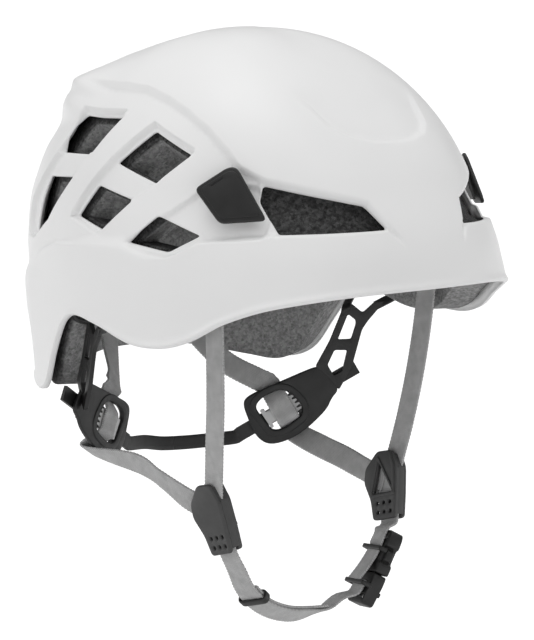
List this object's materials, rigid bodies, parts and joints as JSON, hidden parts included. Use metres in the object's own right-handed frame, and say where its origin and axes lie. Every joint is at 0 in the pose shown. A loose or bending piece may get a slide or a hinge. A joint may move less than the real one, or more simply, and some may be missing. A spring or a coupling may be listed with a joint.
{
  "type": "climbing helmet",
  "caption": "Climbing helmet with a vented white shell, foam liner, front lamp clips, webbing harness, sliding nape band and side-release chin buckle.",
  "frame": {"origin": "on the mid-plane, at the centre of the helmet's oval, level with the low points of the shell above the ears", "axes": "+Z towards the crown, -Y to the front of the helmet, +X to the wearer's left"},
  "size_m": [0.2244, 0.2688, 0.3104],
  "materials": {
    "shell_white": "satin",
    "liner_foam": "matte, beaded",
    "crown_foam": "matte, beaded",
    "pad_fabric": "matte",
    "webbing": "woven",
    "black_plastic": "satin",
    "divider_plastic": "satin",
    "grey_plastic": "satin"
  },
  "bodies": {
    "helmet": {"outer_shell": "shell_white", "epp_liner": "liner_foam", "crown_liner": "crown_foam", "forehead_pad": "pad_fabric", "crown_pad": "pad_fabric", "clip_base_left": "black_plastic", "clip_base_right": "black_plastic", "yoke_left": "black_plastic", "yoke_right": "black_plastic", "arm_pegs": "black_plastic", "adjuster_guide_left": "black_plastic", "adjuster_guide_right": "black_plastic", "strap_slider_left": "grey_plastic", "strap_slider_right": "grey_plastic", "front_strap_left": "webbing", "front_strap_right": "webbing", "rear_strap_left": "webbing", "rear_strap_right": "webbing", "front_strap_anchor_left": "black_plastic", "front_strap_anchor_right": "black_plastic", "rear_strap_anchor": "black_plastic", "divider_outer_left": "divider_plastic", "divider_outer_right": "divider_plastic", "divider_inner_left": "divider_plastic", "divider_inner_right": "divider_plastic", "chin_strap": "webbing", "chin_strap_tail": "webbing", "buckle_strap": "webbing", "buckle_female": "black_plastic"},
    "clip_tab_left": {"clip_tab_left": "black_plastic"},
    "clip_tab_right": {"clip_tab_right": "black_plastic"},
    "nape_band": {"nape_band": "black_plastic"},
    "band_tail_left": {"nape_band_tail_left": "black_plastic"},
    "band_tail_right": {"nape_band_tail_right": "black_plastic"},
    "buckle_male": {"buckle_male": "black_plastic", "buckle_prongs": "black_plastic"},
    "keeper": {"strap_keeper": "black_plastic"}
  },
  "joints": [
    {"name": "clip_left_flex", "type": "hinge", "parent": "helmet", "child": "clip_tab_left", "pos_m": [0.08218, -0.07084, 0.08386], "axis": [-0.5878, -0.809, 0], "range_deg": [0, 12], "stiffness_Nm_per_rad": 0.15},
    {"name": "clip_right_flex", "type": "hinge", "parent": "helmet", "child": "clip_tab_right", "pos_m": [-0.08218, -0.07084, 0.08386], "axis": [-0.5878, 0.809, 0], "range_deg": [0, 12], "stiffness_Nm_per_rad": 0.15},
    {"name": "nape_adjust", "type": "slide", "parent": "helmet", "child": "nape_band", "axis": [0, -0.744, 0.6682], "range_m": [-0.01, 0.015], "deforming": ["nape_band"]},
    {"name": "band_tail_left_slide", "type": "slide", "parent": "nape_band", "child": "band_tail_left", "axis": [1, 0, 0], "range_m": [-0.0089, 0.0134]},
    {"name": "band_tail_right_slide", "type": "slide", "parent": "nape_band", "child": "band_tail_right", "axis": [-0.9436, 0.3311, 0], "range_m": [-0.0117, 0.0176]},
    {"name": "buckle_release", "type": "slide", "parent": "helmet", "child": "buckle_male", "axis": [-0.4998, 0.05, -0.8647], "range_m": [0, 0.022], "deforming": ["buckle_prongs", "chin_strap", "chin_strap_tail"]},
    {"name": "keeper_slide", "type": "slide", "parent": "helmet", "child": "keeper", "axis": [0.7671, 0.1276, -0.6287], "range_m": [-0.004, 0.004]}
  ],
  "couplings": [
    {"joint": "band_tail_left_slide", "follows": "nape_adjust", "ratio": 0.88662},
    {"joint": "band_tail_right_slide", "follows": "nape_adjust", "ratio": 1.1666}
  ]
}
